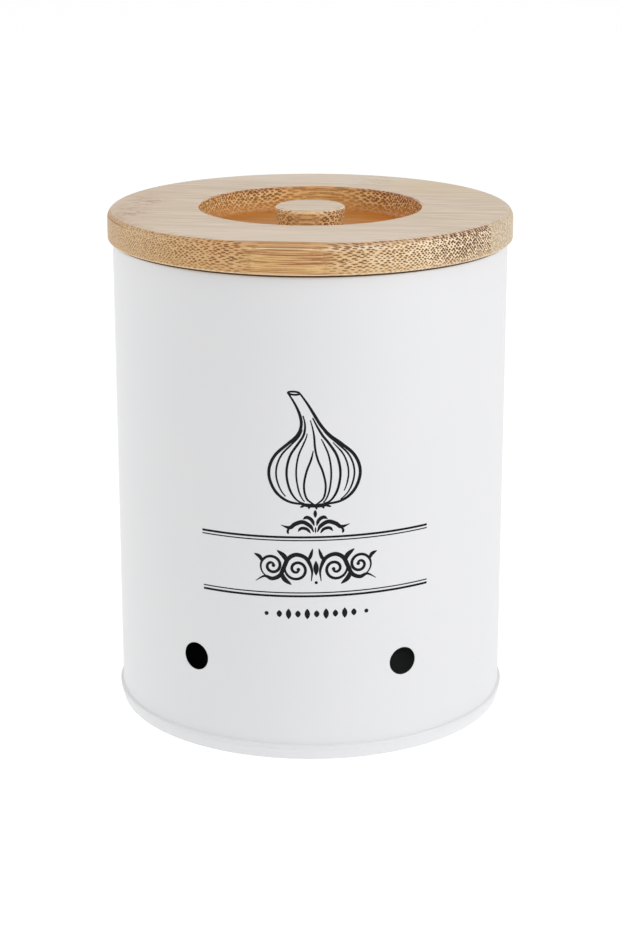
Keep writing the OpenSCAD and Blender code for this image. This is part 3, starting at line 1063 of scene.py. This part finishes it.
def cut_wood_colour(n, at, random, fine, grit):
    """The wood under the bundles, where it was cut: its tone from left to right, the recess, with painted
    shade low in it and at its right side, and fine fibres."""
    # painted shade: the recess darkens at its right side and towards its floor
    recess_right_shade = n.product(at.routed, n.step(at.along, 12.0, 32.0), at.off_middle, 0.6)
    recess_low_shade = n.product(at.routed, n.step(at.depth, 2.5, 7.5), at.off_middle, 0.45)
    return n.laid(
        n.mix(n.step(at.along, -54.0, -22.0), colour(204, 168, 112), colour(210, 162, 98)),
        (n.step(at.along, 2.0, 34.0), colour(211, 174, 120)),
        (n.step(at.along, 34.0, 52.0), colour(215, 183, 141)),
        (at.pale_end, colour(205, 189, 158)),
        (n.product(at.routed, 0.9), colour(250, 204, 132)),
        (n.product(at.knob, n.step(at.along, -11.0, 0.0, 0.4, 0.85)), colour(250, 214, 160)),
        (recess_right_shade, colour(204, 128, 44)),
        (recess_low_shade, colour(204, 134, 58)),
        (n.product(n.step(fine, 0.46, 0.66), 0.45), colour(172, 116, 62)),
        (n.product(n.step(fine, 0.44, 0.28), 0.45), colour(240, 212, 164)),
        (n.product(n.step(grit, 0.56, 0.72), 0.35), colour(150, 102, 58)),
        (n.product(random, 0.12), colour(200, 150, 90)),
    )


def crust_layers(n, at, streak):
    """Layers for the darker wood just under the top, next to the bamboo's skin, in the recess and on the
    rim."""
    recess = n.product(at.inner, n.step(at.depth, 0.7, 1.2, 1.0, 0.0), at.off_middle, 0.5)
    rim = n.product(n.step(at.depth, 0.7, 1.6, 1.0, 0.0), n.less(at.pale_end), at.outside)
    rim = n.product(rim, n.step(streak, 0.3, 0.6, 0.4, 1.0), n.step(at.along, -30.0, 40.0, 0.2, 0.55))
    at_left = n.product(n.step(at.along, -51.0, -58.0, 0.0, 0.8), at.outside)
    line = n.product(n.between(at.depth, 1.55, 1.95, 0.25), at_left)
    return ((recess, colour(172, 98, 42)), (rim, colour(170, 108, 68)), (line, colour(128, 84, 36)))


def long_side_layers(n, at):
    """Layers for the rim's two sides along the grain: long fibres, and growth lines in a flat arch."""
    line = n.drawn_noise(at.mm, (0.025, 0.2, 1.9), 1.0)
    arch = n.plus(n.product(at.along, at.along), -0.0022, at.depth)
    bands = (
        (n.step(line, 0.52, 0.57), 0.7, colour(150, 84, 56)),
        (n.step(line, 0.48, 0.43), 0.6, colour(230, 194, 136)),
        (n.between(arch, 0.8, 1.5, 0.3), 0.4, colour(152, 92, 74)),
        (n.between(arch, 1.6, 1.95, 0.2), 0.65, colour(246, 226, 178)),
        (n.between(arch, 2.2, 2.7, 0.3), 0.4, colour(156, 98, 86)),
    )
    return [(n.product(at.long_side, mask, share), tone) for mask, share, tone in bands]


def rim_end_layers(n, at, gap):
    """Layers for the rim's ends: a chain of gaps just under the top at the right, lightened as a painted
    highlight, specks at both ends, and a painted highlight on the lower chamfer."""
    chain = n.product(n.between(at.depth, 1.3, 2.3, 0.4), n.between(at.along, 12.0, 28.0, 4.0), at.outside)
    far_left = n.product(at.outside, n.step(at.along, -36.0, -58.0))
    speck = n.noise(at.mm, 1.7, 1.0)
    dark, light = n.step(speck, 0.5, 0.62), n.step(speck, 0.5, 0.38)
    return (
        # painted highlight: near-white gaps in a chain just under the top at the right
        (n.product(chain, gap, 0.45), colour(236, 234, 228)),
        (n.product(far_left, dark, 0.4), colour(146, 104, 56)),
        (n.product(at.pale_end, dark, 0.45), colour(160, 128, 84)),
        (n.product(at.pale_end, light, 0.5), colour(244, 230, 206)),
        # painted highlight on the lower chamfer
        (n.product(at.chamfer_highlight, 0.6), colour(250, 228, 196)),
    )


def bundle_colour(n, at):
    """The bundles' dark colour, which is deeper towards the right end and warmer in the recess."""
    return n.laid(
        n.mix(n.product(n.step(at.along, -10.0, 30.0), at.outside), colour(116, 60, 22), colour(92, 58, 34)),
        (n.product(n.step(at.along, 30.0, 46.0), at.outside), colour(62, 32, 6)),
        (at.routed, colour(98, 46, 0)),
    )


def recess_floor_shade_colour(n, at, fine):
    """The recess's floor, darker and redder than the wall as painted shade, and darker still at the right as
    painted shade.
    """
    grain = n.step(fine, 0.3, 0.7)
    left = n.mix(grain, colour(206, 143, 66), colour(162, 97, 34))
    right = n.mix(grain, colour(206, 132, 44), colour(164, 86, 14))
    return n.mix(n.step(at.along, 4.0, 24.0, 0.0, 0.7), left, right)


def top_colour_with_sheen(n, at, streak):
    """The sanded top: pale wood, its paleness partly painted sheen, with soft streaks along the grain and the
    brown flecks of node marks.
    """
    slow = n.drawn_noise(at.mm, (0.02, 0.07, 0.05))
    fleck = n.step(n.drawn_noise(at.mm, (0.3, 1.5, 0.5), 1.0), 0.54, 0.6)
    wavering = n.plus(n.math("SUBTRACT", slow, 0.5), 14.0, at.along)
    front_right = n.product(n.step(at.along, 10.0, 36.0), n.step(at.across, 16.0, 40.0), 0.7)
    # the top's paleness is partly painted sheen
    sanded = n.laid(
        n.mix(n.step(streak, 0.44, 0.56), colour(217, 199, 177), colour(194, 171, 144)),
        (n.product(n.step(slow, 0.35, 0.7), 0.3), colour(206, 180, 152)),
        (n.product(n.step(at.aside, 30.0, 58.0), 0.45), colour(226, 211, 194)),
        (n.product(n.step(at.along, -30.0, -60.0), 0.5), colour(204, 178, 148)),
        (front_right, colour(206, 184, 148)),
    )
    for along, across, half_along, half_across, strength in NODE_MARKS:
        length = n.between(wavering, along - half_along, along + half_along, 1.6 * half_along)
        width = n.between(at.across, across - half_across, across + half_across, half_across)
        sanded = n.mix(n.product(length, width, fleck, strength), sanded, colour(150, 112, 84))
    return sanded


def bamboo_group():
    """Solid bamboo: strips glued side by side, each full of fibre bundles that run along the grain. A
    bundle is a dark dot where the grain ends and a streak where it runs along the surface. The sanded top
    is pale, partly as painted sheen, and the routed recess is richer in colour, with painted shade towards
    its floor and right side. The edges of recess and knob and the rim's lower chamfer carry painted
    highlights."""
    group, n, given, out = new_group(
        "bamboo_fibres",
        [("Dot Size", FLOAT, 0.2), ("Grain Turn", FLOAT, math.radians(GRAIN_TURN))],
        [("Color", COLOUR), ("Height", FLOAT), ("Roughness", FLOAT)],
    )
    feeds = {"Vector": n.object_mm(), "Angle": given["Grain Turn"]}
    at = BoardPlaces(n, n.add("ShaderNodeVectorRotate", feeds, rotation_type="Z_AXIS").outputs[0])
    fine = n.drawn_noise(at.mm, (0.05, 2.2, 2.2), 3.0, 0.7)
    streak = n.drawn_noise(at.mm, (0.035, 0.95, 0.5), 3.0, 0.65)
    grit = n.noise(at.mm, 1.5, 2.0, 0.7)
    random, glue = glued_strips(n, at)
    bundle, gap = fibre_bundles(n, at, random, given["Dot Size"])
    clear = bundle_clearness(n, at, grit)
    marks = n.product(bundle, clear)

    gap_share = n.math("MAXIMUM", n.step(at.along, 0.0, 50.0, 0.2, 0.8), n.product(at.routed, 0.85))
    gap_colour = n.mix(at.routed, colour(250, 232, 202), colour(252, 218, 164))
    wood = n.laid(
        cut_wood_colour(n, at, random, fine, grit),
        (n.product(gap, clear, gap_share), gap_colour),
        *crust_layers(n, at, streak),
        *long_side_layers(n, at),
        *rim_end_layers(n, at, gap),
        (marks, bundle_colour(n, at)),
        (n.product(glue, 0.12), colour(140, 98, 58)),
        # painted shade: the recess floor is darker and redder
        (at.floor, recess_floor_shade_colour(n, at, fine)),
        (at.top, top_colour_with_sheen(n, at, streak)),
        # painted highlight: the light line on the edges of recess and knob
        (n.product(at.edge_highlight, 0.55), colour(246, 226, 190)),
    )
    dip = n.math("SUBTRACT", n.product(fine, 0.35), n.product(marks, at.below_top, 0.8))
    return finish_group(group, out, Color=wood, Height=dip, Roughness=n.plus(fine, 0.14, 0.4))


def lacquer_material(skin, haze):
    """Satin white lacquer on tinplate."""
    material, n, shader = new_material("white_lacquer_satin")
    film = use_group(n, haze, Patch_Size=26.0, Roughness=0.4, Spread=0.06)
    tone = n.mix(film["Cloud"], colour(226, 227, 228), colour(229, 229, 230))
    n.feed(shader, {"Base Color": tone, "Roughness": film["Roughness"]})
    n.feed(shader, {"Coat Weight": 0.15, "Coat Roughness": 0.3})
    bump(n, shader, use_group(n, skin, Peel_Size=0.7, Wave=1.2)["Height"], 0.12, 0.03 * MM)
    return material


def tinplate_material(haze):
    """Bare tinplate inside the tin, with the faint lines that rolling leaves. It is darker towards the
    base, painted shade that keeps the inside dark through the vents, and darker on the rolled edge,
    painted shade for the dark line under the lid."""
    material, n, shader = new_material("bare_tinplate")
    film = use_group(n, haze, Patch_Size=9.0, Roughness=0.42, Spread=0.14)
    place_mm = n.object_mm()
    lines = n.drawn_noise(place_mm, (6.0, 6.0, 0.05))
    height = n.split(place_mm)[2]
    tone = n.laid(
        n.mix(lines, colour(178, 180, 183), colour(198, 199, 201)),
        # painted shade: the tinplate darkens towards the base so the inside looks dark through the vents
        (n.step(height, 30.0, 80.0, 0.9, 0.0), colour(78, 79, 82)),
        # painted shade: the rolled edge and the top of the inside wall darken to give the dark line under the
        # lid
        (n.step(height, BODY_H / MM - 3.2, BODY_H / MM - 2.6, 0.0, 0.8), colour(96, 94, 93)),
    )
    n.feed(shader, {"Base Color": tone, "Roughness": film["Roughness"], "Metallic": 1.0})
    bump(n, shader, lines, 0.1, 0.02 * MM)
    return material


def bamboo_material(fibres):
    """Sanded and lightly varnished bamboo."""
    material, n, shader = new_material("bamboo_varnished")
    wood = use_group(n, fibres)
    n.feed(shader, {"Base Color": wood["Color"], "Roughness": wood["Roughness"], "Specular IOR Level": 0.35})
    n.feed(shader, {"Coat Weight": 0.1, "Coat Roughness": 0.35})
    bump(n, shader, wood["Height"], 0.35, 0.06 * MM)
    return material


def silicone_material(haze):
    """Milky silicone of the seal ring."""
    material, n, shader = new_material("silicone_milky")
    film = use_group(n, haze, Patch_Size=4.0, Roughness=0.5, Spread=0.15)
    tone = n.mix(film["Cloud"], colour(206, 207, 205), colour(224, 225, 223))
    n.feed(shader, {"Base Color": tone, "Roughness": film["Roughness"], "Subsurface Weight": 0.25})
    n.feed(shader, {"Subsurface Radius": (0.6 * MM,) * 3, "Subsurface Scale": 1.0})
    return material


def ink_material(haze):
    """Black screen print with a dull gloss."""
    material, n, shader = new_material("print_ink_black")
    film = use_group(n, haze, Patch_Size=2.5, Roughness=0.5, Spread=0.12)
    tone = n.mix(film["Cloud"], colour(10, 10, 13), colour(22, 22, 26))
    n.feed(shader, {"Base Color": tone, "Roughness": film["Roughness"], "Specular IOR Level": 0.15})
    return material


# ======================= Studio =======================

CAMERA_DISTANCE = 720.96 * MM
CAMERA_HEIGHT = 291.364 * MM
CAMERA_TURN = 1.537
CAMERA_PITCH = 16.502
CAMERA_ROLL = -0.0425
CAMERA_AIM = 0.0023
CAMERA_LENS = 87.654


def make_camera():
    """The camera a little to the left of the print's middle, looking down at the axis."""
    data = bpy.data.cameras.new("camera")
    data.lens = CAMERA_LENS
    data.sensor_width = 36
    data.clip_start, data.clip_end = 0.01, 50
    camera = new_object("camera", data)
    turn = math.radians(CAMERA_TURN)
    spot = (-CAMERA_DISTANCE * math.sin(turn), -CAMERA_DISTANCE * math.cos(turn), CAMERA_HEIGHT)
    camera.matrix_world = (
        Matrix.Translation(spot)
        @ Matrix.Rotation(-turn - math.radians(CAMERA_AIM), 4, "Z")
        @ Matrix.Rotation(math.radians(90 - CAMERA_PITCH), 4, "X")
        @ Matrix.Rotation(math.radians(CAMERA_ROLL), 4, "Z")
    )
    bpy.context.scene.camera = camera


def seen_directly(n):
    """1 on camera, glossy and transmission rays, and 0 on the rays that light surfaces."""
    path = n.add("ShaderNodeLightPath").outputs
    both = n.math("MAXIMUM", path["Is Camera Ray"], path["Is Glossy Ray"])
    return n.math("MAXIMUM", both, path["Is Transmission Ray"])


WORLD_LIGHT = 0.48
FLOOR_LIFT = 0.82
FLOOR_GLOW = 0.37
FLOOR_HALF = 4.0
FLOOR_DROP = 0.1 * MM


def make_world():
    """White all round where it is seen, and a plain dimmer light on the object."""
    world = bpy.data.worlds.new("studio")
    bpy.context.scene.world = world
    n = emptied_nodes(world)
    strength = n.plus(seen_directly(n), 1 - WORLD_LIGHT, WORLD_LIGHT)
    sky = n.add("ShaderNodeBackground", {"Color": (1, 1, 1, 1), "Strength": strength})
    n.add("ShaderNodeOutputWorld", {0: sky.outputs[0]})


def make_floor():
    """A pale floor that keeps the object's shadow where it is seen, lifted to white, and bounces light as a
    white one."""
    half = FLOOR_HALF
    corners = [(x, y, -FLOOR_DROP) for x, y in ((-half, -half), (half, -half), (half, half), (-half, half))]
    mesh = bpy.data.meshes.new("studio_floor")
    mesh.from_pydata(corners, [], [(0, 1, 2, 3)])
    floor = new_object("studio_floor", mesh)
    material = bpy.data.materials.new("floor_white")
    n = emptied_nodes(material)
    seen = seen_directly(n)
    grey = n.mix(seen, (0.85, 0.85, 0.85, 1), (0.35, 0.35, 0.35, 1))
    lit = n.add("ShaderNodeBsdfDiffuse", {"Color": grey})
    glow = n.plus(seen, FLOOR_LIFT - FLOOR_GLOW, FLOOR_GLOW)
    lift = n.add("ShaderNodeEmission", {"Color": (1, 1, 1, 1), "Strength": glow})
    both = n.add("ShaderNodeAddShader", {0: lit.outputs[0], 1: lift.outputs[0]})
    n.add("ShaderNodeOutputMaterial", {0: both.outputs[0]})
    mesh.materials.append(material)


LAMPS = (
    ("softbox_right", (0.85, -0.55, 0.55), 0.8, 3.7, (0.98, 0.97, 1.0)),
    ("softbox_left_back", (-0.95, 0.25, 0.45), 0.7, 2.05, (1.0, 1.0, 1.0)),
    ("softbox_top", (0.05, -0.4, 1.25), 0.9, 4.0, (1.0, 1.0, 1.0)),
)


def make_lamps():
    """Three square softboxes aimed at the tin's middle."""
    for name, spot, size, power, tint in LAMPS:
        data = bpy.data.lights.new(name, "AREA")
        data.shape = "SQUARE"
        data.size = size
        data.energy = power
        data.color = tint
        lamp = new_object(name, data)
        lamp.location = spot
        aim = np.array([0, 0, BODY_H / 2]) - np.array(spot)
        lamp.rotation_mode = "QUATERNION"
        lamp.rotation_quaternion = Vector(aim).to_track_quat("-Z", "Y")


# ======================= Scene =======================

haze = surface_haze_group()
skin = sprayed_skin_group()
fibres = bamboo_group()
lacquer = lacquer_material(skin, haze)
tinplate = tinplate_material(haze)
bamboo = bamboo_material(fibres)
silicone = silicone_material(haze)
ink = ink_material(haze)

make_body(lacquer, tinplate)
make_base(lacquer, tinplate)
make_lid(bamboo)
make_seal(silicone)
make_print("print_rules", rule_strokes(), ink)
make_print("print_bulb", bulb_strokes(), ink)
make_print("print_crest", crest_strokes(), ink)
make_print("print_flourish", flourish_strokes(), ink)
make_print("print_beads", bead_strokes(), ink)

make_camera()
make_world()
make_floor()
make_lamps()
bpy.context.scene.view_settings.view_transform = "Standard"
